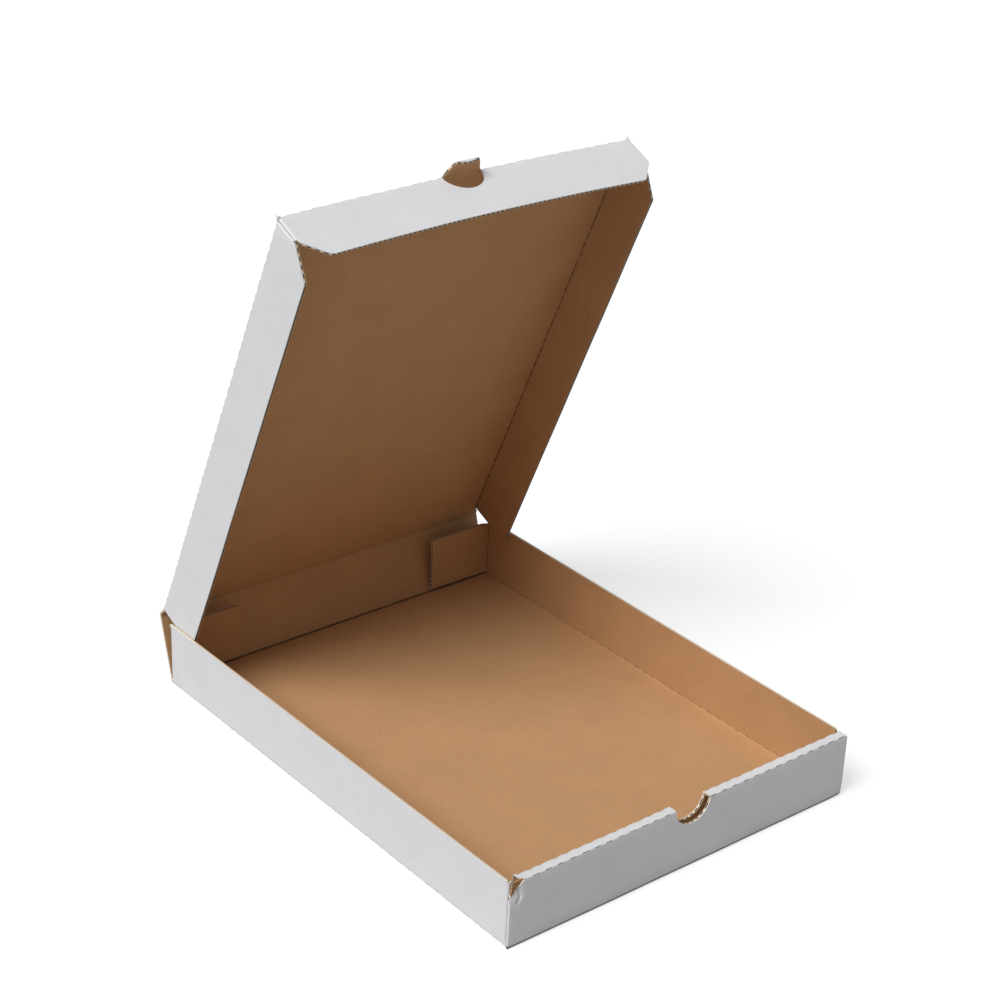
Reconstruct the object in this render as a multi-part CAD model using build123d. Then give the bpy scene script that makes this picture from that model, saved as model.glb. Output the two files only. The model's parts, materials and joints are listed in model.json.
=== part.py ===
"""An open pizza box, folded from one sheet of corrugated board: tray, back wall and lid.

Millimetres, +Z up, with the front towards -Y. The origin is the centre of the tray's underside.
The back wall and the lid are built upright and shut, then turned about their creases.
"""

import os
from math import asin, degrees

from build123d import *

# Board and how it folds
board = 1.6  # thickness of the corrugated board
fold_radius = 1.4  # outside radius of a crease
slip = 0.5  # gap between panels that slide past each other
crease_gap = 0.3  # gap at a crease that hinges, and under a panel that stands on another

# Tray, outside
tray_width = 240.0
tray_depth = 320.0
tray_height = 40.0

# Front wall, rolled over the front tabs of the side walls
roll_slack = 0.85  # gap on each side of a front tab
front_tab_length = 52.0
front_tab_trim = 1.0  # gap above and below a front tab
notch_radius = 12.4  # half-round thumb notch
notch_shift = 3.8  # to the right of the middle
lug_width = 30.0  # locking lugs of the inner front panel
lug_spacing = 120.0

# Torn top left corner of the front wall
tear_width = 7.5
tear_height = 9.0
tear_depth = 0.8  # outer liner and flutes, down to the inner liner

# Corner tabs of the side walls, inside the back wall
rear_tab_length = 47.0
rear_tab_lift = 1.5  # gap above the base, at the crease
rear_tab_rise = 1.0  # slope of the lower edge up to the free end
rear_tab_drop = 0.8  # top edge below the side wall's
shoulder_drop = 2.0  # slope of the top edge down to the crease
shoulder_length = 10.0

# Lid
lid_seat = 0.3  # gap between the shut lid and the wall tops
lid_front_gap = 1.5  # gap between the front flap and the front wall
flap_lift = 7.9  # from the tray's underside to a shut flap's free edge
flap_rear_gap = 6.0  # from the lid crease to a side flap
flap_corner_radius = 5.0
corner_join = 18.5  # length over which the flaps are joined at the front corners
side_flap_setback = 17.5  # slope of the free ends beyond the join
front_flap_setback = 13.0

# Lift tongue in the lid's front fold
tongue_radius = 13.0
tongue_length = 10.5
tongue_right = 10.0  # straight worn edge, from the middle of the lid
lip_left = 6.0  # bent tip, from the middle of the lid
lip_drop = 3.0

# Pose, in degrees
wall_lean = 16.0  # back wall, from upright
lid_opening = 66.5  # lid, from shut

# Sizes that follow
half_width = tray_width / 2
half_depth = tray_depth / 2
roll_depth = 3 * board + 2 * roll_slack
wall_inside = half_width - board
roll_rear = roll_depth - half_depth
front_tab_face = board + roll_slack - half_depth
rear_tab_face = half_depth - board - slip
base_rear = half_depth - board - crease_gap
lid_width = tray_width - 2 * (board + slip)
lid_depth = tray_depth - roll_depth - lid_front_gap
lid_side = lid_width / 2
crease_height = tray_height + lid_seat + board
flap_height = crease_height - flap_lift
margin = 1.0  # how far a cutter reaches past what it cuts


def block(low, high):
    """A box between two corners."""
    size = [b - a for a, b in zip(low, high)]
    return Pos(*low) * Box(*size, align=(Align.MIN, Align.MIN, Align.MIN))


def prism(plane, points, start, end):
    """A polygon on a plane, extruded from one distance along the plane's normal to another."""
    face = make_face(Polyline(*points, close=True))
    return extrude(plane.offset(start) * face, amount=end - start)


def tray_envelope():
    """The space inside the tray's outer faces, with the creases under the side walls rounded."""
    section = Rectangle(tray_width, tray_height, align=(Align.CENTER, Align.MIN))
    section = fillet(section.vertices().group_by(Axis.Y)[0], fold_radius)
    return extrude(Plane.XZ * section, amount=tray_depth, both=True)


def side_wall():
    """The right side wall with its front tab and its rear corner tab."""
    wall = block((wall_inside, front_tab_face, 0), (half_width, rear_tab_face, tray_height))
    front_tab = block(
        (half_width - front_tab_length, front_tab_face, board + front_tab_trim),
        (wall_inside, front_tab_face + board, tray_height - board - front_tab_trim),
    )
    tab_end = half_width - rear_tab_length
    tab_top = tray_height - rear_tab_drop
    rear_tab = prism(
        Plane.XZ,
        [
            (tab_end, board + rear_tab_lift + rear_tab_rise),
            (wall_inside, board + rear_tab_lift),
            (wall_inside, tab_top - shoulder_drop),
            (wall_inside - shoulder_length, tab_top),
            (tab_end, tab_top),
        ],
        -rear_tab_face,
        board - rear_tab_face,
    )
    corners = wall.edges().filter_by(Axis.Z).group_by(Axis.X)[-1]
    return fillet(corners, fold_radius) + front_tab + rear_tab


def front_wall():
    """The front panel, the band along its top and the inner panel, rolled over as one strip."""
    section = Pos(-half_depth, 0) * Rectangle(roll_depth, tray_height, align=(Align.MIN, Align.MIN))
    front = section.vertices().group_by(Axis.X)[0]
    top_rear = section.vertices().group_by(Axis.X)[-1].sort_by(Axis.Y)[-1]
    section = fillet([*front, top_rear], fold_radius)
    hollow = Rectangle(roll_depth - 2 * board, tray_height - 2 * board, align=(Align.MIN, Align.MIN))
    foot = Rectangle(board, crease_gap, align=(Align.MAX, Align.MIN))
    section -= Pos(board - half_depth, board) * hollow
    section -= Pos(roll_rear, board) * foot
    wall = extrude(Plane.YZ * section, amount=half_width, both=True)
    for side in (-1, 1):
        ends = sorted((side * (wall_inside - slip), side * (half_width + margin)))
        wall -= block(
            (ends[0], board - half_depth, board),
            (ends[1], roll_rear + margin, tray_height + margin),
        )
    return wall


def lugs(clearance, top):
    """The inner front panel's locking lugs, or their slots in the base when given a clearance."""
    lug = block(
        (-lug_width / 2 - clearance, roll_rear - board - clearance, 0),
        (lug_width / 2 + clearance, roll_rear + clearance, top),
    )
    return [Pos(side * lug_spacing / 2) * lug for side in (-1, 1)]


def make_tray():
    """Base, side walls and rolled-over front wall as one folded piece."""
    envelope = tray_envelope()
    base = block((-half_width, roll_rear - board, 0), (half_width, base_rear, board)) & envelope
    right = side_wall() & envelope
    tray = base + front_wall() + right + mirror(right, about=Plane.YZ)
    for slot in lugs(slip, board):
        tray -= slot
    for lug in lugs(0, board + crease_gap):
        tray += lug
    middle = roll_depth / 2 - half_depth
    notch = Cylinder(notch_radius, roll_depth + 2 * margin)
    tear = prism(
        Plane.XZ,
        [
            (-half_width, tray_height),
            (tear_width - half_width, tray_height),
            (-half_width, tray_height - tear_height),
        ],
        half_depth - tear_depth,
        half_depth,
    )
    return tray - Pos(notch_shift, middle, tray_height) * Rot(X=90) * notch - tear


def make_back_wall():
    """The back wall, upright, with the crease at its foot rounded."""
    section = Pos(half_depth, 0) * Rectangle(board, tray_height, align=(Align.MAX, Align.MIN))
    foot = section.vertices().group_by(Axis.Y)[0].sort_by(Axis.X)[-1]
    section = fillet(foot, fold_radius)
    return extrude(Plane.YZ * section, amount=lid_side, both=True)


def lid_shell():
    """The lid's panel and flaps with rounded creases, before the flaps are cut to shape."""
    outer = block((-lid_side, -lid_depth, -flap_height), (lid_side, 0, 0))
    inner = block(
        (board - lid_side, board - lid_depth, -flap_height - margin),
        (lid_side - board, margin, -board),
    )
    shell = outer - inner
    top = shell.faces().sort_by(Axis.Z)[-1].edges().sort_by(Axis.Y)[:-1]
    corners = shell.edges().filter_by(Axis.Z).group_by(Axis.Y)[0]
    return fillet([*top, *corners], fold_radius)


def flap_cuts():
    """What the die cuts from the lid's flaps: the rear ends, the sloped front ends, the tongue's hole."""
    below = -flap_height - margin
    rear = block((-tray_width, -flap_rear_gap, below), (tray_width, margin, -board))
    front_end = prism(
        Plane.XZ,
        [
            (lid_side, -corner_join),
            (lid_side - front_flap_setback, -flap_height),
            (lid_side - front_flap_setback, below),
            (lid_side + margin, below),
            (lid_side + margin, -corner_join),
        ],
        lid_depth - board,
        lid_depth + margin,
    )
    side_end = prism(
        Plane.YZ,
        [
            (-lid_depth, -corner_join),
            (side_flap_setback - lid_depth, -flap_height),
            (side_flap_setback - lid_depth, below),
            (-lid_depth - margin, below),
            (-lid_depth - margin, -corner_join),
        ],
        lid_side - board,
        lid_side + margin,
    )
    hole = Circle(tongue_radius) & Pos(0, -board) * Rectangle(
        2 * tongue_radius, tongue_radius, align=(Align.CENTER, Align.MAX)
    )
    hole = extrude(Plane.XZ.offset(lid_depth - board) * hole, amount=board + margin)
    ends = front_end + side_end
    return [rear, hole, ends, mirror(ends, about=Plane.YZ)]


def web_corner():
    """The folded web at the right front corner: two layers of board behind the front flap."""
    inside = lid_side - board
    return prism(
        Plane.XZ,
        [(inside, -board), (inside, -corner_join), (inside - corner_join, -corner_join)],
        lid_depth - 3 * board,
        lid_depth - board,
    )


def tongue():
    """The half-round lift tongue, worn straight on its right and bent down at its tip."""
    front = -lid_depth
    tip = front - tongue_length
    root = front + 2 * board
    left = CenterArc((0, front), tongue_radius, 180, degrees(asin(tongue_length / tongue_radius)))
    rest = Polyline(
        left @ 1,
        (tongue_right, tip),
        (tongue_right, root),
        (-tongue_radius, root),
        left @ 0,
    )
    flat = extrude(make_face(left + rest), amount=-board)
    lip = block((-lip_left, tip, -board - lip_drop), (tongue_right, tip + board, 0))
    return flat + lip


def make_lid():
    """The lid, shut, with its crease along the X axis and its outer face on the XY plane."""
    lid = lid_shell()
    for cut in flap_cuts():
        lid -= cut
    rear_corners = [
        edge
        for edge in lid.edges().filter_by(Axis.X)
        if abs(edge.center().Y + flap_rear_gap) < slip and abs(edge.center().Z + flap_height) < slip
    ]
    lid = fillet(rear_corners, flap_corner_radius)
    web = web_corner()
    return lid + web + mirror(web, about=Plane.YZ) + tongue()


def lean(shape):
    """Turns a shape with the back wall, about the crease at the rear of the base."""
    return Pos(0, half_depth, 0) * Rot(X=-wall_lean) * Pos(0, -half_depth, 0) * shape


def open_lid(shape):
    """Sets the lid on its crease at the top of the back wall and opens it."""
    opened = Rot(X=wall_lean - lid_opening) * shape
    return lean(Pos(0, half_depth, crease_height) * opened)


os.makedirs("parts", exist_ok=True)
export_step(make_tray(), "parts/tray.step")
export_step(lean(make_back_wall()), "parts/back_wall.step")
export_step(open_lid(make_lid()), "parts/lid.step")
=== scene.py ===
"""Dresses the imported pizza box: one sheet of corrugated board, white outside and kraft inside.

Each piece starts as its part of the flat blank, white side down, and is folded up along its creases.
The blank's own X and Y stay on every face as a UV map, so liners, flutes and scores follow the sheet.
"""

import json
from math import asin, ceil, cos, degrees, exp, pi, radians, sin, tan
from types import SimpleNamespace

import bmesh
import bpy
from bpy.props import FloatProperty, FloatVectorProperty, PointerProperty
from mathutils import Matrix, Vector, geometry, noise

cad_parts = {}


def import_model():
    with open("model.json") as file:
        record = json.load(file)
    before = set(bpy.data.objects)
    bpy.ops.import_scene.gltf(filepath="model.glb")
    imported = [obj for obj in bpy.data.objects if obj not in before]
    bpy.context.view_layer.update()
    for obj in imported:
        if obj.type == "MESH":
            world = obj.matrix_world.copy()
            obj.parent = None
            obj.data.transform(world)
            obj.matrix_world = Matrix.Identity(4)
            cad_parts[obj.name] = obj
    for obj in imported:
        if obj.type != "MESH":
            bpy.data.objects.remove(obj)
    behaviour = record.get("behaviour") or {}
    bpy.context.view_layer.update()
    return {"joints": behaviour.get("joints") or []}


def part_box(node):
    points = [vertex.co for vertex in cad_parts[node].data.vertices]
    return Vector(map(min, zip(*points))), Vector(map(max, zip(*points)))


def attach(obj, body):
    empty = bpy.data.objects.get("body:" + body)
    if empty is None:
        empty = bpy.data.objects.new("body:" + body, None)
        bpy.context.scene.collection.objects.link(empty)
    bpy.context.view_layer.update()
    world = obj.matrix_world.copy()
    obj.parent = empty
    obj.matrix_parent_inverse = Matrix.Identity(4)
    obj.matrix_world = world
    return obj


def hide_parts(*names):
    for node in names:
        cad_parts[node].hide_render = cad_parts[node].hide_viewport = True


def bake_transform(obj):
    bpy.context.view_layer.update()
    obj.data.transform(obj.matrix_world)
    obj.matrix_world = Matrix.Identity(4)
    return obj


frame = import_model()

bl_info = {
    "name": "Pizza box",
    "version": (1, 0, 0),
    "blender": (4, 5, 0),
    "location": "View3D > Sidebar > Pizza box",
    "description": "Folds a corrugated pizza box from its flat blank and sets it on a pale floor",
    "category": "Object",
}

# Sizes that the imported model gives
hinges = {joint["name"]: joint for joint in frame["joints"]}
foot = Vector(hinges["back_wall_hinge"]["pos_m"])
rise = Vector(hinges["lid_hinge"]["pos_m"]) - foot
quarter = radians(90)
wall_turn = rise.angle(Vector((0, 1, 0)))
lid_turn = quarter + radians(hinges["lid_hinge"]["range_deg"][0])
tray_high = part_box("tray")[1]
lid_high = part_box("lid")[1]

HALF_WIDTH = tray_high.x
HALF_DEPTH = foot.y
TRAY_HEIGHT = tray_high.z
LID_SIDE = lid_high.x
LID_CREASE = HALF_DEPTH + rise.length

# Folding
SEAM = 0.0028  # from a moving crease to the seam with the next piece
TIGHT_RADIUS = 0.0014  # outside radius of a tight fold
WEB_RADIUS = 0.0013  # outside radius of the fold into a web corner
BASE_DASH = 0.0081  # from one dash of a cut score to the next, on the tray and the back wall
LID_SIDE_DASH = 0.0070
LID_FRONT_DASH = 0.0090
NEAR = 1e-6

# Camera and light, fitted to the photograph
CAMERA_EYE = (-0.74377, -0.88545, 0.72982)
CAMERA_AZIMUTH = -39.89
CAMERA_ELEVATION = 26.52
CAMERA_ROLL = 2.40
KEY_FROM = (-0.60, -0.06, 0.79)
KEY_SPREAD = 35
FLOOR_GLOW = 0.6


def length(name, default, description):
    """A size in metres that a user can change."""
    return FloatProperty(name=name, description=description, default=default, unit="LENGTH", precision=5)


def colour(name, default, description):
    """A colour that a user can change."""
    return FloatVectorProperty(name=name, description=description, default=default, subtype="COLOR", size=3)


class BoardProperties(bpy.types.PropertyGroup):
    """The corrugated board and its liners."""

    thickness: length("Thickness", 0.0016, "Thickness of the board")
    fold_radius: length("Fold radius", 0.0019, "Outside radius of a folded crease")
    sharp_radius: length("Sharp fold radius", 0.0010, "Outside radius of a perforated crease")
    scallop: length("Scallop", 0.0005, "How deep the cut scores scallop a fold")
    ripple: length("Ripple", 0.0004, "How far the panels are out of flat")
    flute: length("Flute pitch", 0.0032, "Distance from one flute to the next")
    cell: length("Cell", 0.008, "Size of the cells a panel is divided into")
    white: colour("White liner", (0.73, 0.73, 0.745), "Colour of the coated outer liner")
    kraft: colour("Kraft liner", (0.53, 0.302, 0.148), "Colour of the unbleached inner liner")
    paper: colour("Cut paper", (0.58, 0.44, 0.30), "Colour of the paper in a cut edge")


class TrayProperties(bpy.types.PropertyGroup):
    """The tray's panels."""

    roll_depth: length("Roll depth", 0.0065, "Depth of the band along the top of the front wall")
    roll_slack: length("Roll slack", 0.00085, "Gap on each side of a front tab")
    slip: length("Slip", 0.0005, "Gap between panels that slide past each other")
    notch_radius: length("Notch radius", 0.0124, "Radius of the half-round thumb notch")
    notch_shift: length("Notch shift", 0.0038, "Notch to the right of the middle")
    front_tab: length("Front tab", 0.052, "Length of a side wall's front tab")
    front_tab_trim: length("Front tab trim", 0.0026, "Front tab's edge inside the wall's edge")
    rear_tab: length("Rear tab", 0.047, "Length of a side wall's rear corner tab")
    rear_tab_low: length("Rear tab low", 0.0031, "Lower edge of a rear corner tab")
    rear_tab_high: length("Rear tab high", 0.0388, "Upper edge of a rear corner tab")
    rear_tab_rise: length("Rear tab rise", 0.0008, "Slope of the lower edge up to the free end")
    shoulder: length("Shoulder", 0.002, "Drop of a rear tab's upper edge at its crease")
    lug: length("Lug", 0.030, "Width of a locking lug of the inner front panel")
    lug_spacing: length("Lug spacing", 0.120, "Distance between the locking lugs")
    slot_room: length("Slot room", 0.0001, "Gap between a locking lug and its slot")
    tear_width: length("Tear width", 0.0095, "Width of the torn corner of the front wall")
    tear_height: length("Tear height", 0.0088, "Height of the torn corner of the front wall")


class LidProperties(bpy.types.PropertyGroup):
    """The lid's panel and flaps."""

    depth: length("Depth", 0.312, "From the lid's crease to its front fold")
    flap: length("Flap", 0.034, "Height of the flaps")
    rear_gap: length("Rear gap", 0.006, "From the lid's crease to a side flap")
    corner_radius: length("Corner radius", 0.005, "Radius of a side flap's rear corner")
    join: length("Corner join", 0.0185, "Length over which the flaps are joined at a front corner")
    side_setback: length("Side setback", 0.0175, "Slope of a side flap's front end")
    front_setback: length("Front setback", 0.013, "Slope of the front flap's ends")
    nose: length("Nose", 0.0026, "Depth of the folded end of the front flap")
    cut: length("Corner cut", 0.0008, "From a lid fold to the start of the corner join")
    hole: length("Hole radius", 0.0134, "Radius of the half-round hole that the lift tongue leaves")
    hole_shift: length("Hole shift", 0.0003, "Hole to the right of the middle")
    tongue: length("Tongue radius", 0.0124, "Radius of the half-round lift tongue")
    tongue_shift: length("Tongue shift", 0.0010, "Tongue to the right of the middle")
    tongue_length: length("Tongue length", 0.0098, "From the front fold to the tongue's bent tip")
    bow: length("Bow", 0.0022, "How far the lid bows outwards at the middle of its front fold")
    swing: length("Swing", 0.0012, "How far the front flap swings out at its middle")


class StageProperties(bpy.types.PropertyGroup):
    """Floor, light and camera."""

    floor: colour("Floor", (0.5, 0.5, 0.5), "Colour of the floor, which also glows towards the camera")
    sun: FloatProperty(name="Key light", description="Strength of the soft key light", default=2.8)
    sky: FloatProperty(name="Fill light", description="Strength of the light from all round", default=0.30)
    lens: FloatProperty(name="Lens", description="Focal length on a 36 mm sensor", default=84.8)


def arc(centre, radius, start, end, steps=14):
    """Points of the blank along a round cut, from one angle to another in degrees."""
    turns = [radians(start + (end - start) * step / steps) for step in range(steps + 1)]
    return [(centre[0] + radius * cos(turn), centre[1] + radius * sin(turn)) for turn in turns]


def mirrored(outline):
    """The outline of the same panel on the other side of the box."""
    return [(-x, y) for x, y in outline]


def anywhere(x, y):
    """The whole of a piece, for a crease that all its panels share."""
    return True


class Crease:
    """A fold of the blank towards its kraft side, along X (axis 1) or along Y (axis 0)."""

    def __init__(self, axis, place, way, angle, radius, spans, part, scallop=0, period=BASE_DASH):
        self.axis = axis
        self.place = place
        self.way = way
        self.angle = angle
        self.radius = radius
        self.reach = radius * tan(angle / 2)
        self.spans = spans
        self.part = part
        self.scallop = scallop
        self.period = period

    def off(self, point):
        """How far a point of the blank lies beyond the crease."""
        return self.way * (point[self.axis] - self.place)

    def curls(self, point):
        """Whether a point of the blank lies on the curled board of the crease."""
        along = point[1 - self.axis]
        joined = any(low - 1e-5 < along < high + 1e-5 for low, high in self.spans)
        return joined and abs(self.off(point)) < self.reach + NEAR and self.part(point.x, point.y)

    def divide(self, skin):
        """Divides the curled board finely enough to follow the scallops of the score."""
        edges = []
        for edge in skin.edges:
            first, second = edge.verts
            level = abs(first.co[self.axis] - second.co[self.axis]) < NEAR
            if level and self.curls((first.co + second.co) / 2):
                edges.append(edge)
        bmesh.ops.subdivide_edges(skin, edges=edges, cuts=5, use_grid_fill=True)

    def fold(self, skin):
        """Turns what lies beyond the crease, and curls the board next to it."""
        sheet = skin.loops.layers.uv["sheet"]
        turned = []
        for vert in skin.verts:
            place = vert.link_loops[0][sheet].uv
            off = self.off(place)
            if self.curls(place) and abs(off) < self.reach - NEAR:
                along = place[1 - self.axis]
                turn = self.angle * (off / self.reach + 1) / 2
                shift = self.way * (vert.co[self.axis] - self.place) - off
                stray = 2 * noise.noise((along * 90, off * 200, 0))
                wave = 0.5 + 0.5 * sin(2 * pi * along / self.period + stray)
                dent = self.scallop * wave**2 * (1 - (off / self.reach) ** 2)
                arm = self.radius - vert.co.z - dent
                curled = arm * sin(turn) + shift * cos(turn) - self.reach
                vert.co.z = self.radius - arm * cos(turn) + shift * sin(turn)
                vert.co[self.axis] = self.place + self.way * curled
            elif off > 0 and self.part(place.x, place.y):
                turned.append(vert)
        centre = (0, self.place, 0) if self.axis else (self.place, 0, 0)
        angle = self.angle * self.way * (1 if self.axis else -1)
        matrix = Matrix.Rotation(angle, 3, "X" if self.axis else "Y")
        bmesh.ops.rotate(skin, verts=turned, cent=centre, matrix=matrix)


def bisect(skin, faces, axis, place):
    """Divides faces along a straight line of the blank."""
    normal = Vector((axis == 0, axis == 1, 0))
    edges = {edge for face in faces for edge in face.edges}
    verts = {vert for face in faces for vert in face.verts}
    whole = [*verts, *edges, *faces]
    bmesh.ops.bisect_plane(skin, geom=whole, dist=1e-5, plane_co=normal * place, plane_no=normal)


def within(face, area):
    """Whether the middle of a face lies in an area of the blank."""
    low_x, low_y, high_x, high_y = area
    middle = face.calc_center_median()
    return low_x < middle.x < high_x and low_y < middle.y < high_y


def cut_blank(outlines, creases, cell, slots=(), patch=None):
    """The flat panels as one skin, white side down, divided into cells and joined where they crease.

    Slots are areas that are cut out. A patch is an area with the size of the finer cells in it.
    """
    skin = bmesh.new()
    for outline in outlines:
        skin.faces.new([skin.verts.new((x, y, 0)) for x, y in outline])
    skin.normal_update()
    bmesh.ops.reverse_faces(skin, faces=[face for face in skin.faces if face.normal.z > 0])
    for axis in range(2):
        places = [vert.co[axis] for vert in skin.verts]
        lines = [step * cell for step in range(ceil(min(places) / cell), ceil(max(places) / cell))]
        for crease in creases:
            if crease.axis == axis:
                lines += [crease.place + crease.reach * part for part in (-1, -0.5, 0, 0.5, 1)]
            else:
                lines += [end for span in crease.spans for end in span]
        for slot in slots:
            lines += [slot[axis], slot[axis + 2]]
        for line in lines:
            bisect(skin, skin.faces[:], axis, line)
        if patch:
            area, step = patch
            for count in range(ceil((area[axis + 2] - area[axis]) / step)):
                faces = [face for face in skin.faces if within(face, area)]
                bisect(skin, faces, axis, area[axis] + count * step)
    holes = [face for face in skin.faces if any(within(face, slot) for slot in slots)]
    bmesh.ops.delete(skin, geom=holes, context="FACES")
    bmesh.ops.remove_doubles(skin, verts=skin.verts, dist=2e-5)
    for crease in creases:
        if crease.scallop:
            crease.divide(skin)
    sheet = skin.loops.layers.uv.new("sheet")
    for face in skin.faces:
        for loop in face.loops:
            loop[sheet].uv = loop.vert.co.xy
    return skin


def flat_place(skin):
    """Where each vertex lies on the blank."""
    sheet = skin.loops.layers.uv["sheet"]
    return {vert: vert.link_loops[0][sheet].uv.copy() for vert in skin.verts}


def unsettle(skin, depth, seam):
    """Presses the panels a little out of flat, more so away from the seam with the next piece."""
    skin.normal_update()
    for vert, place in flat_place(skin).items():
        level = 0.5 + 0.5 * noise.noise((place.x * 22, place.y * 22, 3))
        vert.co -= vert.normal * depth * level * min(1, abs(place.y - seam) / 0.03)


def add_board(skin, thickness):
    """Gives the skin the board's thickness on its kraft side, and lays out its cut edges."""
    skin.normal_update()
    flat = flat_place(skin)
    made = bmesh.ops.extrude_face_region(skin, geom=skin.faces[:], use_keep_orig=True)
    for vert in made["geom"]:
        if isinstance(vert, bmesh.types.BMVert):
            vert.co -= vert.normal * thickness
    bmesh.ops.recalc_face_normals(skin, faces=skin.faces)
    across = skin.loops.layers.uv.new("cut")
    for face in skin.faces:
        outer = [loop.vert in flat for loop in face.loops]
        face.material_index = 0 if all(outer) else 2 if any(outer) else 1
        if face.material_index < 2:
            continue
        for loop in face.loops:
            near = (loop.vert, loop.link_loop_prev.vert, loop.link_loop_next.vert)
            place = next(flat[vert] for vert in near if vert in flat)
            loop[across].uv = (place.x, loop.vert not in flat)


def whiten_corners(skin, area, facing, kinds):
    """Rolls the white liner over the cut board in an area on both sides, where it faces sideways enough."""
    low_x, low_y, high_x, high_y = area
    sheet = skin.loops.layers.uv["sheet"]
    for face in skin.faces:
        place = face.loops[0][sheet].uv
        if face.material_index in kinds and abs(face.normal.x) >= facing:
            if low_x < abs(place.x) < high_x and low_y < place.y < high_y:
                face.material_index = 0


def finish_sheet(skin, name, materials, node):
    """Makes the folded board an object that stands for its CAD node."""
    mesh = bpy.data.meshes.new(name)
    skin.to_mesh(mesh)
    skin.free()
    mesh.shade_smooth()
    mesh.set_sharp_from_angle(angle=radians(32))
    for material in materials:
        mesh.materials.append(material)
    piece = bpy.data.objects.new(name, mesh)
    bpy.context.scene.collection.objects.link(piece)
    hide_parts(node)
    return piece


class Nodes:
    """Adds shader nodes to a material and links them as they are made."""

    def __init__(self, name):
        self.material = bpy.data.materials.get(name) or bpy.data.materials.new(name)
        self.material.use_nodes = True
        self.tree = self.material.node_tree
        self.tree.nodes.clear()

    def add(self, kind, *inputs, **settings):
        """A node with its sockets set or linked in order, and its settings."""
        node = self.tree.nodes.new("ShaderNode" + kind)
        for key, value in settings.items():
            setattr(node, key, value)
        for socket, value in zip(node.inputs, inputs):
            self.put(socket, value)
        return node

    def put(self, socket, value):
        """Links a socket to another node's, or sets its value."""
        if isinstance(value, bpy.types.NodeSocket):
            self.tree.links.new(value, socket)
        elif value is not None:
            socket.default_value = value

    def math(self, operation, *inputs):
        """The result of a sum."""
        return self.add("Math", *inputs, operation=operation).outputs[0]

    def mix(self, share, first, second):
        """One colour laid over another by a share."""
        node = self.add("Mix", data_type="RGBA")
        for socket, value in zip((node.inputs[0], node.inputs[6], node.inputs[7]), (share, first, second)):
            self.put(socket, value)
        return node.outputs[2]

    def place(self, layer, scale=(1, 1, 1)):
        """The blank's own coordinates, scaled."""
        uv = self.add("UVMap", uv_map=layer).outputs[0]
        return self.add("Mapping", uv, None, None, scale).outputs[0]

    def split(self, layer, scale=(1, 1, 1)):
        """The blank's own coordinates as separate numbers."""
        return self.add("SeparateXYZ", self.place(layer, scale)).outputs

    def noise(self, scale, detail=2.0, stretch=(1, 1, 1)):
        """Smooth noise over the sheet, with about scale features to a metre."""
        return self.add("TexNoise", self.place("sheet", stretch), None, scale, detail, 0.6).outputs[0]

    def ramp(self, value, low, high):
        """A smooth step from 0 at low to 1 at high."""
        node = self.add("MapRange", value, low, high, 0.0, 1.0, interpolation_type="SMOOTHSTEP")
        return node.outputs[0]

    def finish(self, base, roughness, height=None, depth=0.0002, specular=0.3):
        """The finished surface, with its relief."""
        shader = self.add("BsdfPrincipled")
        self.put(shader.inputs["Base Color"], base)
        self.put(shader.inputs["Roughness"], roughness)
        shader.inputs["Specular IOR Level"].default_value = specular
        if height is not None:
            bump = self.add("Bump")
            bump.inputs["Strength"].default_value = 1.0
            bump.inputs["Distance"].default_value = depth
            self.put(bump.inputs["Height"], height)
            self.put(shader.inputs["Normal"], bump.outputs[0])
        self.add("OutputMaterial", shader.outputs[0])
        return self.material


def tint(shade, level):
    """A colour made lighter or darker."""
    return (*(min(1, part * level) for part in shade), 1)


def draw_scores_and_shade_lines(nodes, scores):
    """How strongly the die marks the sheet along its scores, and where painted shade lines, listed the same
    way, darken it.

    A score is its axis, its place, its two ends, its width, its strength and the period of its dashes, or 0.
    """
    split = nodes.split("sheet")
    wander = nodes.noise(300)
    total = None
    for axis, place, low, high, width, strength, period in scores:
        along = split[1 - axis]
        off = nodes.math("ABSOLUTE", nodes.math("SUBTRACT", split[axis], place))
        line = nodes.math("MULTIPLY", nodes.ramp(off, width, width * 0.4), strength)
        inside = nodes.math("COMPARE", along, (low + high) / 2, (high - low) / 2)
        line = nodes.math("MULTIPLY", line, inside)
        if period:
            turn = nodes.math("FRACT", nodes.math("DIVIDE", along, period))
            edge = nodes.math("MULTIPLY_ADD", wander, 0.9, 0.02)
            line = nodes.math("MULTIPLY", line, nodes.math("LESS_THAN", turn, edge))
        total = line if total is None else nodes.math("MAXIMUM", total, line)
    return total


def white_liner(board, scores):
    """Coated white liner: faint mottle, a trace of the flutes beneath, cut scores at the folds, and a
    painted shadow line along the foot of the front wall.
    """
    nodes = Nodes("white_liner")
    mottle = nodes.noise(45, 4)
    fleck = nodes.noise(1500, 3)
    base = nodes.mix(nodes.ramp(mottle, 0.3, 0.7), tint(board.white, 0.985), tint(board.white, 1.02))
    base = nodes.mix(nodes.ramp(fleck, 0.62, 0.78), base, tint(board.white, 0.95))
    ribs = nodes.math("SINE", nodes.split("sheet", (2 * pi / board.flute, 1, 1))[0])
    height = nodes.math("MULTIPLY_ADD", ribs, 0.03, nodes.math("MULTIPLY", fleck, 0.1))
    lines = draw_scores_and_shade_lines(nodes, scores)
    # The cut scores darken the liner, and so does the painted shadow line along the foot of the front wall.
    base = nodes.mix(lines, base, (0.055, 0.048, 0.042, 1))
    height = nodes.math("SUBTRACT", height, lines)
    return nodes.finish(base, 0.5, height, 0.00025, 0.35)


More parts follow.
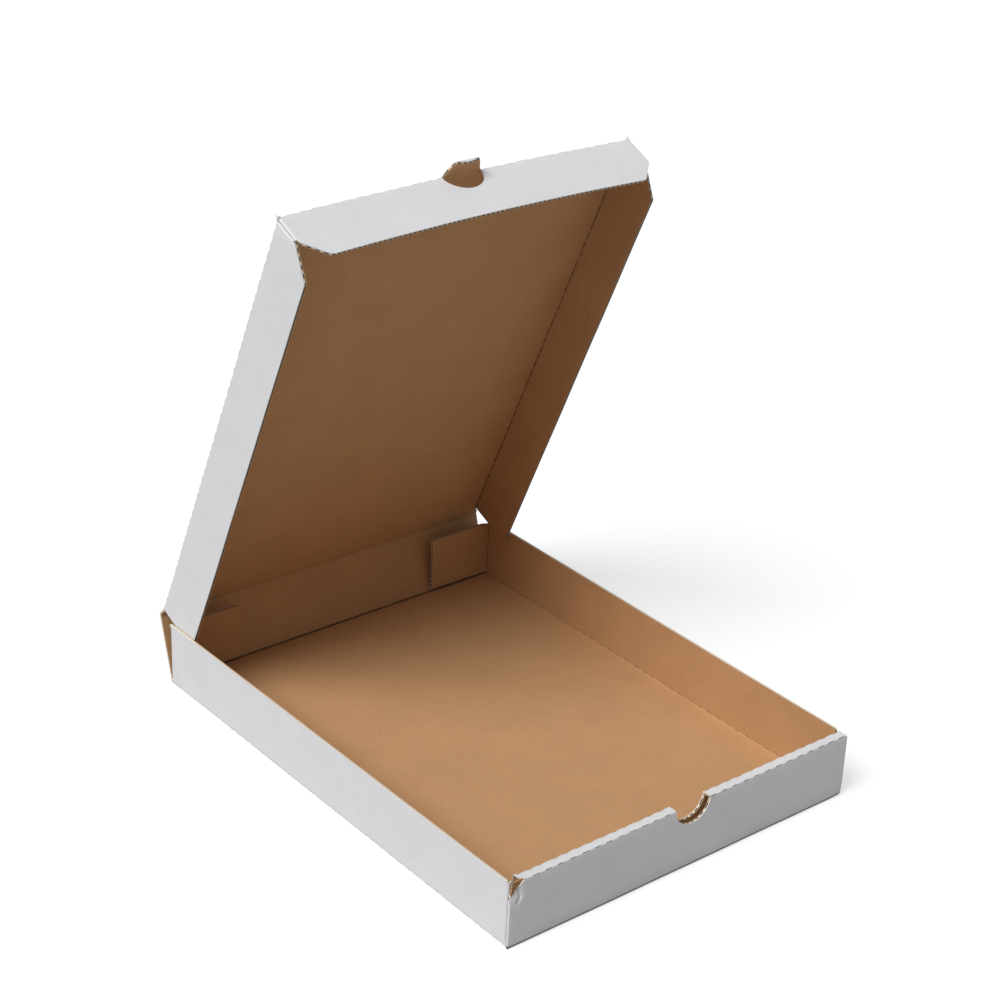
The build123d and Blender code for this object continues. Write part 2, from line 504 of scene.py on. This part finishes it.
def kraft_liner(board, scores):
    """Unbleached liner: plain brown with short fibres, dark and light specks, pressed scores, and painted
    shade beside the lid's side creases.
    """
    nodes = Nodes("kraft_liner")
    clouds = nodes.noise(30, 4)
    fibres = nodes.noise(1100, 4, (0.3, 1, 1))
    base = nodes.mix(nodes.ramp(clouds, 0.3, 0.72), tint(board.kraft, 0.965), tint(board.kraft, 1.035))
    base = nodes.mix(nodes.ramp(fibres, 0.5, 0.8), base, tint(board.kraft, 0.86))
    light = nodes.ramp(nodes.noise(620, 2, (0.3, 1, 1)), 0.69, 0.76)
    base = nodes.mix(light, base, tint(board.kraft, 1.3))
    dark = nodes.ramp(nodes.noise(480, 2, (0.5, 1, 1)), 0.72, 0.77)
    base = nodes.mix(dark, base, tint(board.kraft, 0.55))
    ribs = nodes.math("SINE", nodes.split("sheet", (2 * pi / board.flute, 1, 1))[0])
    height = nodes.math("MULTIPLY_ADD", ribs, 0.05, nodes.math("MULTIPLY", fibres, 0.3))
    lines = draw_scores_and_shade_lines(nodes, scores)
    # Pressed scores, darkened in patches; the wide lines beside the lid's side creases are painted shade on
    # top of the pressed score there.
    worn = nodes.math("MULTIPLY", lines, nodes.ramp(nodes.noise(140, 3), 0.15, 0.5))
    base = nodes.mix(worn, base, tint(board.kraft, 0.22))
    height = nodes.math("SUBTRACT", height, lines)
    return nodes.finish(base, 0.8, height, 0.0002, 0.15)


def cut_edge(board):
    """Cut board: the two liners with the wave of the fluting between them, the hollows between the flutes
    painted dark as shade.
    """
    nodes = Nodes("cut_edge")
    split = nodes.split("cut")
    wave = nodes.math("SINE", nodes.math("MULTIPLY_ADD", split[0], 2 * pi / board.flute, -pi / 2))
    middle = nodes.math("ABSOLUTE", nodes.math("SUBTRACT", split[1], 0.58))
    shaded_hollow = nodes.math("MULTIPLY", nodes.ramp(wave, -0.35, 0.15), nodes.ramp(middle, 0.24, 0.17))
    outer = nodes.ramp(split[1], 0.62, 0.50)
    fray = nodes.noise(900, 3)
    paper = nodes.mix(nodes.ramp(fray, 0.3, 0.7), tint(board.paper, 0.8), tint(board.paper, 1.2))
    base = nodes.mix(outer, paper, (0.74, 0.69, 0.62, 1))
    # Painted shade: the hollows between the flutes are coloured near black.
    base = nodes.mix(shaded_hollow, base, (0.035, 0.02, 0.011, 1))
    height = nodes.math("SUBTRACT", 1.0, shaded_hollow)
    return nodes.finish(base, 0.85, height, 0.0004, 0.1)


def torn_paper(board):
    """Fluting laid bare where the liner is torn off: brown, ridged and fuzzy."""
    nodes = Nodes("torn_paper")
    fuzz = nodes.noise(1600, 4)
    base = nodes.mix(nodes.ramp(fuzz, 0.35, 0.65), tint(board.kraft, 0.55), tint(board.kraft, 1.1))
    return nodes.finish(base, 0.95, fuzz, 0.0003, 0.05)


def tray_lines(board, tray):
    """Places of the tray's creases and edges on the blank."""
    front = -HALF_DEPTH
    top = front - TRAY_HEIGHT
    rim = HALF_WIDTH + TRAY_HEIGHT
    return SimpleNamespace(
        side=HALF_WIDTH,
        front=front,
        top=top,
        roll=top - tray.roll_depth,
        rim=rim,
        band=HALF_WIDTH - board.thickness / 2,
        notch_left=tray.notch_shift - tray.notch_radius,
        notch_right=tray.notch_shift + tray.notch_radius,
        torn=tray.tear_width - HALF_WIDTH,
        wall_front=front + board.thickness + tray.roll_slack,
        wall_rear=HALF_DEPTH - board.thickness - tray.slip,
        tab_low=HALF_WIDTH + tray.front_tab_trim,
        tab_high=rim - tray.front_tab_trim,
        bare=rim - 0.0006,
        rear_low=HALF_WIDTH + tray.rear_tab_low,
        rear_high=HALF_WIDTH + tray.rear_tab_high,
        neck=HALF_WIDTH + tray.rear_tab_high - tray.shoulder,
    )


def lid_lines(lid):
    """Places of the lid's creases and edges on the blank."""
    front = LID_CREASE + lid.depth
    return SimpleNamespace(
        side=LID_SIDE,
        start=LID_CREASE + SEAM,
        rear=LID_CREASE + lid.rear_gap,
        front=front,
        flap_end=front - lid.nose - 0.0003,
        web=LID_SIDE + lid.join - 0.0018,
        free=LID_SIDE + lid.flap,
        low=front + lid.flap,
        tip=front + lid.tongue_length,
        hole_left=lid.hole_shift - lid.hole,
        hole_right=lid.hole_shift + lid.hole,
    )


def board_materials(scene):
    """White side, kraft side and cut edge, with the scores of the whole blank and the painted shade lines
    among them.
    """
    board = scene.pizza_board
    tray = tray_lines(board, scene.pizza_tray)
    lid = lid_lines(scene.pizza_lid)
    fine = 0.00035
    base_fold = tray.side + 0.0006
    lid_fold = lid.side + 0.0007
    outer = [
        (1, tray.top + 0.0002, tray.torn, tray.band, fine, 1.0, BASE_DASH),
        # Painted shadow: a continuous dark line under the rounded foot of the front wall, where it meets the
        # floor.
        (1, tray.front - 0.0004, -tray.side, tray.side, 0.0018, 0.9, 0),
        (0, -base_fold, tray.wall_front, tray.wall_rear, fine, 1.0, BASE_DASH),
        (0, base_fold, tray.wall_front, tray.wall_rear, fine, 1.0, BASE_DASH),
        (1, HALF_DEPTH, -LID_SIDE, LID_SIDE, fine, 1.0, BASE_DASH),
        (1, LID_CREASE, -LID_SIDE, LID_SIDE, fine, 1.0, BASE_DASH),
        (1, lid.front + 0.0007, -lid.side, lid.side, fine, 1.0, LID_FRONT_DASH),
        (0, -lid_fold, lid.rear, lid.flap_end, fine, 1.0, LID_SIDE_DASH),
        (0, lid_fold, lid.rear, lid.flap_end, fine, 1.0, LID_SIDE_DASH),
    ]
    press = 0.0013
    inner = [
        (0, -tray.side, tray.front, tray.wall_rear, press, 1.0, 0),
        (0, tray.side, tray.front, tray.wall_rear, press, 1.0, 0),
        (1, tray.wall_rear, -tray.neck, tray.neck, press, 1.0, 0),
        (1, HALF_DEPTH, -LID_SIDE, LID_SIDE, 0.0010, 0.8, 0),
        (1, LID_CREASE, -LID_SIDE, LID_SIDE, press, 0.35, 0),
        # Pressed score plus painted shade: these lines are wide, so they darken the kraft beside the lid's
        # side creases.
        (0, -lid.side, lid.rear, lid.front, 0.0025, 0.8, 0),
        (0, lid.side, lid.rear, lid.front, 0.0025, 0.8, 0),
        (1, lid.front, -lid.side, lid.hole_left - 0.0003, press, 0.6, 0),
        (1, lid.front, lid.hole_right + 0.0003, lid.side, press, 0.6, 0),
    ]
    return [white_liner(board, outer), kraft_liner(board, inner), cut_edge(board)]


def tray_outlines(board, tray):
    """The tray's panels on the blank: base, front wall to be rolled over, side walls and their tabs."""
    at = tray_lines(board, tray)
    foot_line = at.roll - TRAY_HEIGHT + board.thickness + 0.0003
    lug_tip = at.roll - TRAY_HEIGHT + 0.0002
    torn_foot = at.top + tray.tear_height
    base = [
        (-at.side, at.front),
        (at.side, at.front),
        (at.side, at.wall_front),
        (at.side, at.wall_rear),
        (-at.side, at.wall_rear),
        (-at.side, at.wall_front),
    ]
    front_panel = [
        (at.torn, at.top),
        (-at.side + 0.0020, torn_foot - 0.0010),
        (-at.side + 0.0006, torn_foot),
        (-at.side + 0.0003, at.front - 0.001),
        (-at.side, at.front),
        (at.side, at.front),
        (at.side, at.top + 0.002),
        (at.band, at.top),
        *arc((tray.notch_shift, at.top), tray.notch_radius, 0, 180),
    ]
    rolled = at.torn - 0.0032
    band_end = at.band - 0.002
    band_left = [(at.torn, at.top), (at.notch_left, at.top), (at.notch_left, at.roll), (rolled, at.roll)]
    band_right = [
        (at.notch_right, at.top),
        (at.band, at.top),
        (at.band, at.roll + 0.001),
        (band_end, at.roll),
        (at.notch_right, at.roll),
    ]
    near = tray.lug_spacing / 2 - tray.lug / 2
    far = near + tray.lug
    lug = [(far, foot_line), (far, lug_tip), (near, lug_tip), (near, foot_line)]
    inner_panel = [
        *arc((tray.notch_shift, at.roll), tray.notch_radius, 180, 360),
        (band_end, at.roll),
        (band_end, foot_line),
        *lug,
        *mirrored(reversed(lug)),
        (rolled, foot_line),
        (rolled, at.roll),
    ]
    fold = [(at.side, at.wall_front), (at.tab_low, at.wall_front), (at.tab_high, at.wall_front)]
    bare = [(at.bare, at.wall_front), (at.rim, at.wall_front + 0.0012)]
    under_band = [(at.rim - 0.0024, at.wall_front + 0.0046), (at.rim, at.wall_front + 0.0062)]
    rear = [
        (at.rim, at.wall_rear),
        (at.neck, at.wall_rear),
        (at.rear_low, at.wall_rear),
        (at.side, at.wall_rear),
    ]
    walls = [[*fold, *under_band, *rear], mirrored([*fold, *bare, *rear])]
    front_end = at.wall_front - tray.front_tab
    front_end_cut = [(at.tab_high, front_end), (at.tab_low, front_end), (at.tab_low, at.wall_front)]
    front_tab = [(at.tab_high, at.wall_front), *front_end_cut]
    bare_tab = [
        (at.tab_high, at.wall_front),
        (at.bare, at.wall_front),
        (at.bare, at.wall_front - 0.0030),
        (at.tab_high, at.wall_front - 0.0060),
        *front_end_cut,
    ]
    rear_end = at.wall_rear + tray.rear_tab
    lifted = at.rear_low + tray.rear_tab_rise
    rear_tab = [
        (at.rear_low, at.wall_rear),
        (at.neck, at.wall_rear),
        (at.neck + 0.0016, at.wall_rear + 0.0055),
        (at.rear_high, at.wall_rear + 0.0110),
        (at.rear_high, rear_end - 0.0008),
        (at.rear_high - 0.0008, rear_end),
        (lifted + 0.0006, rear_end),
        (lifted, rear_end - 0.0008),
    ]
    tabs = [front_tab, rear_tab, mirrored(bare_tab), mirrored(rear_tab)]
    return [base, front_panel, band_left, band_right, inner_panel, *walls, *tabs]


def tray_creases(board, tray):
    """The tray's folds, from the free ends inwards."""
    at = tray_lines(board, tray)
    radius = board.fold_radius
    neck = (at.rear_low, at.neck)
    tabs = [(at.tab_low, at.tab_high), (-at.bare, -at.tab_low)]
    bands = [(at.torn, at.notch_left), (at.notch_right, at.band)]
    walls = [(at.wall_front, at.wall_rear)]

    def outside(x, y):
        return abs(x) > at.side + NEAR

    def inside(x, y):
        return abs(x) < at.side + NEAR

    return [
        Crease(1, at.wall_rear, 1, quarter, radius, [neck, (-neck[1], -neck[0])], outside),
        Crease(1, at.wall_front, -1, quarter, radius, tabs, outside),
        Crease(0, -at.side, -1, quarter, radius, walls, anywhere, board.scallop * 0.4),
        Crease(0, at.side, 1, quarter, radius, walls, anywhere, board.scallop * 0.4),
        Crease(1, at.roll, -1, quarter, TIGHT_RADIUS, bands, inside, board.scallop),
        Crease(1, at.top, -1, quarter, board.sharp_radius, bands, inside),
        Crease(1, at.front, -1, quarter, TIGHT_RADIUS, [(-at.side, at.side)], inside),
    ]


def wear_corners(skin, at):
    """Pushes in and creases the torn corner, and crushes the front wall's lower right corner."""
    wrinkle = [Vector((-0.1142, 0.0348)), Vector((-0.1129, 0.0300)), Vector((-0.1145, 0.0270))]
    groove, groove_width = 0.0013, 0.0007
    pushed_side, push_depth = -0.1105, 0.0012
    frayed = 0.0006
    crushed = Vector((at.side, at.front, 0))
    crush = Vector((-0.0010, 0.0006, 0.0004))
    for vert, place in flat_place(skin).items():
        if at.top - NEAR < place.y < at.front and abs(place.x) < at.side + NEAR:
            spot = Vector((place.x, at.front - place.y))
            gaps = []
            for start, end in zip(wrinkle, wrinkle[1:]):
                share = geometry.intersect_point_line(spot, start, end)[1]
                gaps.append((spot - start.lerp(end, max(0, min(1, share)))).length)
            vert.co.y += groove * exp(-((min(gaps) / groove_width) ** 2))
            high = max(0, min(1, (spot.y - 0.022) / 0.011))
            vert.co.y += push_depth * (max(0, (pushed_side - place.x) / 0.0085) * high)
            edge = (place.x + at.side) / 0.004
            vert.co.y += frayed * exp(-edge) * (0.5 + 0.5 * sin(spot.y * 420))
        near = (vert.co - crushed).length / 0.004
        if near < 1:
            vert.co += crush * (1 - near) ** 2


class PIZZABOX_OT_fold_tray(bpy.types.Operator):
    """Fold the tray: base, side walls with their tabs, and the rolled-over front wall"""

    bl_idname = "pizza_box.fold_tray"
    bl_label = "Fold tray"

    def execute(self, context):
        board = context.scene.pizza_board
        tray = context.scene.pizza_tray
        at = tray_lines(board, tray)
        creases = tray_creases(board, tray)
        slot_front = at.front + tray.roll_depth - board.thickness - tray.slot_room
        slot_rear = at.front + tray.roll_depth + tray.slot_room
        near = tray.lug_spacing / 2 - tray.lug / 2 - tray.slot_room
        far = tray.lug_spacing / 2 + tray.lug / 2 + tray.slot_room
        slots = [(near, slot_front, far, slot_rear), (-far, slot_front, -near, slot_rear)]
        # The torn corner and the wrinkle under it
        patch = ((-at.side, at.top, -0.107, at.top + 0.024), 0.0005)
        skin = cut_blank(tray_outlines(board, tray), creases, board.cell, slots, patch)
        for crease in creases:
            crease.fold(skin)
        unsettle(skin, board.ripple, at.wall_rear)
        wear_corners(skin, at)
        add_board(skin, board.thickness)
        corner = (at.side - 0.003, at.top + 0.010, at.rim, at.wall_front + NEAR)
        whiten_corners(skin, corner, 0.7, (2,))
        materials = board_materials(context.scene)
        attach(finish_sheet(skin, "tray_sheet", materials, "tray"), "tray")
        return {"FINISHED"}


class PIZZABOX_OT_fill_tear(bpy.types.Operator):
    """Lay bare the fluting in the torn corner of the front wall"""

    bl_idname = "pizza_box.fill_tear"
    bl_label = "Fill tear"

    def execute(self, context):
        board = context.scene.pizza_board
        tray = context.scene.pizza_tray
        at = tray_lines(board, tray)
        outline = [
            (-at.side + 0.0022, at.top + 0.0006),
            (at.torn - 0.0004, at.top + 0.0002),
            (-at.side + 0.0026, at.top + tray.tear_height - 0.0010),
            (-at.side + 0.0012, at.top + tray.tear_height - 0.0004),
        ]
        crease = Crease(1, at.front, -1, quarter, board.fold_radius, [], anywhere)
        skin = cut_blank([outline], [crease], 0.0004)
        crease.fold(skin)
        for vert, place in flat_place(skin).items():
            ridge = sin(2 * pi * (place.x * 0.8 - place.y * 0.6) / 0.0013)
            vert.co.y += 0.0012 + 0.0003 * ridge
        add_board(skin, 0.0006)
        materials = [torn_paper(board)] * 3
        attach(finish_sheet(skin, "torn_flutes", materials, "tray"), "tray")
        return {"FINISHED"}


class PIZZABOX_OT_fold_back_wall(bpy.types.Operator):
    """Fold up the back wall and the two creases that it hinges on"""

    bl_idname = "pizza_box.fold_back_wall"
    bl_label = "Fold back wall"

    def execute(self, context):
        board = context.scene.pizza_board
        start = tray_lines(board, context.scene.pizza_tray).wall_rear
        low = HALF_DEPTH + SEAM
        high = LID_CREASE - SEAM
        side = LID_SIDE + 0.0007
        width = [(-side, side)]
        creases = [
            Crease(1, LID_CREASE, 1, lid_turn, board.fold_radius, width, anywhere),
            Crease(1, HALF_DEPTH, 1, wall_turn, board.fold_radius, width, anywhere),
        ]
        materials = board_materials(context.scene)
        strips = {
            "foot_crease": (start, low),
            "back_wall_sheet": (low, high),
            "lid_crease": (high, LID_CREASE + SEAM),
        }
        pieces = {}
        for name, (near, far) in strips.items():
            outline = [(-side, near), (side, near), (side, far), (-side, far)]
            skin = cut_blank([outline], creases, board.cell)
            for crease in creases:
                crease.fold(skin)
            add_board(skin, board.thickness)
            pieces[name] = finish_sheet(skin, name, materials, "back_wall")
        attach(pieces["back_wall_sheet"], "back_wall")
        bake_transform(pieces["foot_crease"])
        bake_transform(pieces["lid_crease"])
        return {"FINISHED"}


def lid_outlines(lid):
    """The lid's panels on the blank: panel with its tongue, side flaps and front flap."""
    at = lid_lines(lid)
    centre = (lid.tongue_shift, at.front)
    right = lid.tongue_shift + lid.tongue - 0.0008
    worn = degrees(asin(lid.tongue_length / lid.tongue))
    half = [
        (at.side, at.start),
        (at.side, at.rear),
        (at.side, at.flap_end),
        (at.side, at.front),
    ]
    root = [
        (at.hole_right, at.front),
        (right, at.front),
        (lid.tongue_shift - lid.tongue, at.front),
        (at.hole_left, at.front),
    ]
    panel = [*half, *root, *mirrored(reversed(half))]
    tongue = [(right, at.front), *arc(centre, lid.tongue, worn, 180, 22)]
    corner = (at.free - lid.corner_radius, at.rear + lid.corner_radius)
    flap = [
        (at.side, at.rear),
        (at.side, at.flap_end),
        (at.side + lid.cut, at.flap_end),
        (at.side + lid.join, at.flap_end),
        (at.free, at.front - lid.side_setback),
        *arc(corner, lid.corner_radius, 0, -90, 6),
    ]
    flap_return = [
        (at.side + lid.cut, at.flap_end),
        (at.web, at.flap_end),
        (at.web, at.flap_end + at.web - at.side - lid.cut),
    ]
    end = [
        (at.side, at.front),
        (at.side, at.front + lid.cut),
        (at.side, at.front + lid.join),
        (at.side - 0.0014, at.front + lid.join + 0.0032),
        (at.side - lid.front_setback + 0.0010, at.low - 0.0008),
        (at.side - lid.front_setback - 0.0012, at.low),
    ]
    front_flap = [*arc((lid.hole_shift, at.front), lid.hole, 180, 0, 22), *end, *mirrored(reversed(end))]
    nose = [
        (at.side, at.front + lid.cut),
        (at.side, at.front + lid.join),
        (at.side + lid.nose, at.front + lid.join),
        (at.side + lid.nose, at.front + lid.cut),
    ]
    nose_return = [
        (at.side + lid.nose, at.front + lid.cut),
        (at.side + lid.nose, at.front + lid.join),
        (at.side + lid.nose + lid.join - lid.cut, at.front + lid.join),
    ]
    sides = [flap, flap_return, nose, nose_return]
    return [panel, tongue, front_flap, *sides, *map(mirrored, sides)]


def lid_creases(board, lid):
    """The lid's folds, from the free ends inwards."""
    at = lid_lines(lid)
    radius = board.fold_radius
    bend = lid.nose / 2
    web_fold = at.side + lid.nose + 0.0001

    def in_tongue(x, y):
        return (x - lid.tongue_shift) ** 2 + (y - at.front) ** 2 < (lid.tongue + 0.0001) ** 2

    def in_side(x, y):
        return abs(x) > at.side + NEAR

    def behind(x, y):
        return y - at.front < max(lid.cut / 2, abs(x) - web_fold)

    def before(x, y):
        return not behind(x, y)

    def in_return(x, y):
        return in_side(x, y) and behind(x, y)

    def in_nose(x, y):
        return in_side(x, y) and before(x, y)

    def in_front_flap(x, y):
        return not in_tongue(x, y) and not in_return(x, y)

    joins = (at.side + lid.cut, at.web)
    ends = (at.front + lid.cut, at.front + lid.join)
    sides = [(at.rear, at.flap_end)]
    fronts = [(-at.side, at.hole_left), (at.hole_right, at.side)]
    width = (lid.tongue_shift - lid.tongue, lid.tongue_shift + lid.tongue)
    return [
        Crease(1, at.tip, 1, radians(72), TIGHT_RADIUS, [width], in_tongue),
        Crease(1, at.front, 1, radians(6), TIGHT_RADIUS, [], in_tongue),
        Crease(1, at.flap_end, 1, quarter, WEB_RADIUS, [joins, (-joins[1], -joins[0])], in_return),
        Crease(0, -at.side - lid.nose, -1, quarter, bend, [ends], in_nose),
        Crease(0, at.side + lid.nose, 1, quarter, bend, [ends], in_nose),
        Crease(0, -at.side, -1, quarter, bend, [ends], before),
        Crease(0, at.side, 1, quarter, bend, [ends], before),
        Crease(0, -at.side, -1, quarter, radius, sides, behind, board.scallop, LID_SIDE_DASH),
        Crease(0, at.side, 1, quarter, radius, sides, behind, board.scallop, LID_SIDE_DASH),
        Crease(1, at.front, 1, quarter, radius, fronts, in_front_flap, board.scallop, LID_FRONT_DASH),
    ]


class PIZZABOX_OT_fold_lid(bpy.types.Operator):
    """Fold the lid: panel with its lift tongue, side flaps and front flap"""

    bl_idname = "pizza_box.fold_lid"
    bl_label = "Fold lid"

    def execute(self, context):
        board = context.scene.pizza_board
        lid = context.scene.pizza_lid
        at = lid_lines(lid)
        creases = lid_creases(board, lid)
        skin = cut_blank(lid_outlines(lid), creases, board.cell)
        for crease in creases:
            crease.fold(skin)
        unsettle(skin, board.ripple, at.start)
        for vert, place in flat_place(skin).items():
            along = min(1, (place.y - LID_CREASE) / lid.depth)
            arch = cos(pi * place.x / at.side / 2) if abs(place.x) < at.side else 0
            vert.co.z -= lid.bow * arch * along**1.5
            if vert.co.z > 0.004 and place.y > at.front:
                vert.co.y += lid.swing * arch * vert.co.z / lid.flap
        add_board(skin, board.thickness)
        corner = (at.side - 0.0025, at.flap_end - 0.001, at.side + 0.0012, at.front + 0.002)
        whiten_corners(skin, corner, 0, (1, 2))
        for place, turn in ((LID_CREASE, lid_turn), (HALF_DEPTH, wall_turn)):
            matrix = Matrix.Rotation(turn, 3, "X")
            bmesh.ops.rotate(skin, verts=skin.verts, cent=(0, place, 0), matrix=matrix)
        materials = board_materials(context.scene)
        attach(finish_sheet(skin, "lid_sheet", materials, "lid"), "lid")
        return {"FINISHED"}


class PIZZABOX_OT_set_stage(bpy.types.Operator):
    """Set the pale floor, the soft light and the camera"""

    bl_idname = "pizza_box.set_stage"
    bl_label = "Set stage"

    def execute(self, context):
        stage = context.scene.pizza_stage
        scene = context.scene
        scene.view_settings.view_transform = "Standard"
        ground = bmesh.new()
        bmesh.ops.create_grid(ground, x_segments=1, y_segments=1, size=6)
        mesh = bpy.data.meshes.new("floor")
        ground.to_mesh(mesh)
        ground.free()
        floor = bpy.data.objects.new("floor", mesh)
        scene.collection.objects.link(floor)
        nodes = Nodes("floor")
        path = nodes.add("LightPath").outputs
        diffuse = nodes.add("BsdfDiffuse", (*stage.floor, 1))
        seen_glow = nodes.math("MULTIPLY", path["Is Camera Ray"], FLOOR_GLOW)
        glow = nodes.add("Emission", (1, 1, 1, 1), seen_glow)
        both = nodes.add("AddShader", diffuse.outputs[0], glow.outputs[0])
        nodes.add("OutputMaterial", both.outputs[0])
        mesh.materials.append(nodes.material)

        world = bpy.data.worlds.new("studio")
        scene.world = world
        world.use_nodes = True
        tree = world.node_tree
        tree.nodes.clear()
        rays = tree.nodes.new("ShaderNodeLightPath").outputs
        seen = tree.nodes.new("ShaderNodeMath")
        seen.operation = "MAXIMUM"
        tree.links.new(rays["Is Camera Ray"], seen.inputs[0])
        tree.links.new(rays["Is Glossy Ray"], seen.inputs[1])
        level = tree.nodes.new("ShaderNodeMapRange")
        tree.links.new(seen.outputs[0], level.inputs[0])
        level.inputs[3].default_value = stage.sky
        level.inputs[4].default_value = 1.0
        sky = tree.nodes.new("ShaderNodeBackground")
        tree.links.new(level.outputs[0], sky.inputs["Strength"])
        out = tree.nodes.new("ShaderNodeOutputWorld")
        tree.links.new(sky.outputs[0], out.inputs[0])

        key = bpy.data.lights.new("key", "SUN")
        key.energy = stage.sun
        key.angle = radians(KEY_SPREAD)
        lamp = bpy.data.objects.new("key", key)
        lamp.rotation_mode = "QUATERNION"
        lamp.rotation_quaternion = Vector(KEY_FROM).to_track_quat("Z", "Y")
        scene.collection.objects.link(lamp)

        lens = bpy.data.cameras.new("camera")
        lens.sensor_width = 36
        lens.lens = stage.lens
        camera = bpy.data.objects.new("camera", lens)
        azimuth = Matrix.Rotation(radians(CAMERA_AZIMUTH), 4, "Z")
        tilt = Matrix.Rotation(radians(90 - CAMERA_ELEVATION), 4, "X")
        roll = Matrix.Rotation(radians(CAMERA_ROLL), 4, "Z")
        camera.matrix_world = Matrix.Translation(CAMERA_EYE) @ (azimuth @ tilt @ roll)
        scene.collection.objects.link(camera)
        scene.camera = camera
        return {"FINISHED"}


class PIZZABOX_PT_folding(bpy.types.Panel):
    """Lists the sizes and the steps that fold the box"""

    bl_idname = "PIZZABOX_PT_folding"
    bl_label = "Pizza box"
    bl_space_type = "VIEW_3D"
    bl_region_type = "UI"
    bl_category = "Pizza box"

    def draw(self, context):
        layout = self.layout
        for group in GROUPS:
            properties = getattr(context.scene, group)
            for name in properties.bl_rna.properties.keys():
                if name not in ("rna_type", "name"):
                    layout.prop(properties, name)
        for operator in OPERATORS:
            layout.operator(operator.bl_idname)


GROUPS = {
    "pizza_board": BoardProperties,
    "pizza_tray": TrayProperties,
    "pizza_lid": LidProperties,
    "pizza_stage": StageProperties,
}
OPERATORS = (
    PIZZABOX_OT_fold_tray,
    PIZZABOX_OT_fill_tear,
    PIZZABOX_OT_fold_back_wall,
    PIZZABOX_OT_fold_lid,
    PIZZABOX_OT_set_stage,
)


def register():
    """Registers the properties, the operators and the panel."""
    for name, group in GROUPS.items():
        bpy.utils.register_class(group)
        setattr(bpy.types.Scene, name, PointerProperty(type=group))
    for operator in OPERATORS:
        bpy.utils.register_class(operator)
    bpy.utils.register_class(PIZZABOX_PT_folding)


def unregister():
    """Takes them away again."""
    bpy.utils.unregister_class(PIZZABOX_PT_folding)
    for operator in reversed(OPERATORS):
        bpy.utils.unregister_class(operator)
    for name, group in GROUPS.items():
        delattr(bpy.types.Scene, name)
        bpy.utils.unregister_class(group)


def main():
    register()
    bpy.ops.pizza_box.fold_tray()
    bpy.ops.pizza_box.fill_tear()
    bpy.ops.pizza_box.fold_back_wall()
    bpy.ops.pizza_box.fold_lid()
    bpy.ops.pizza_box.set_stage()


if __name__ == "__main__":
    main()
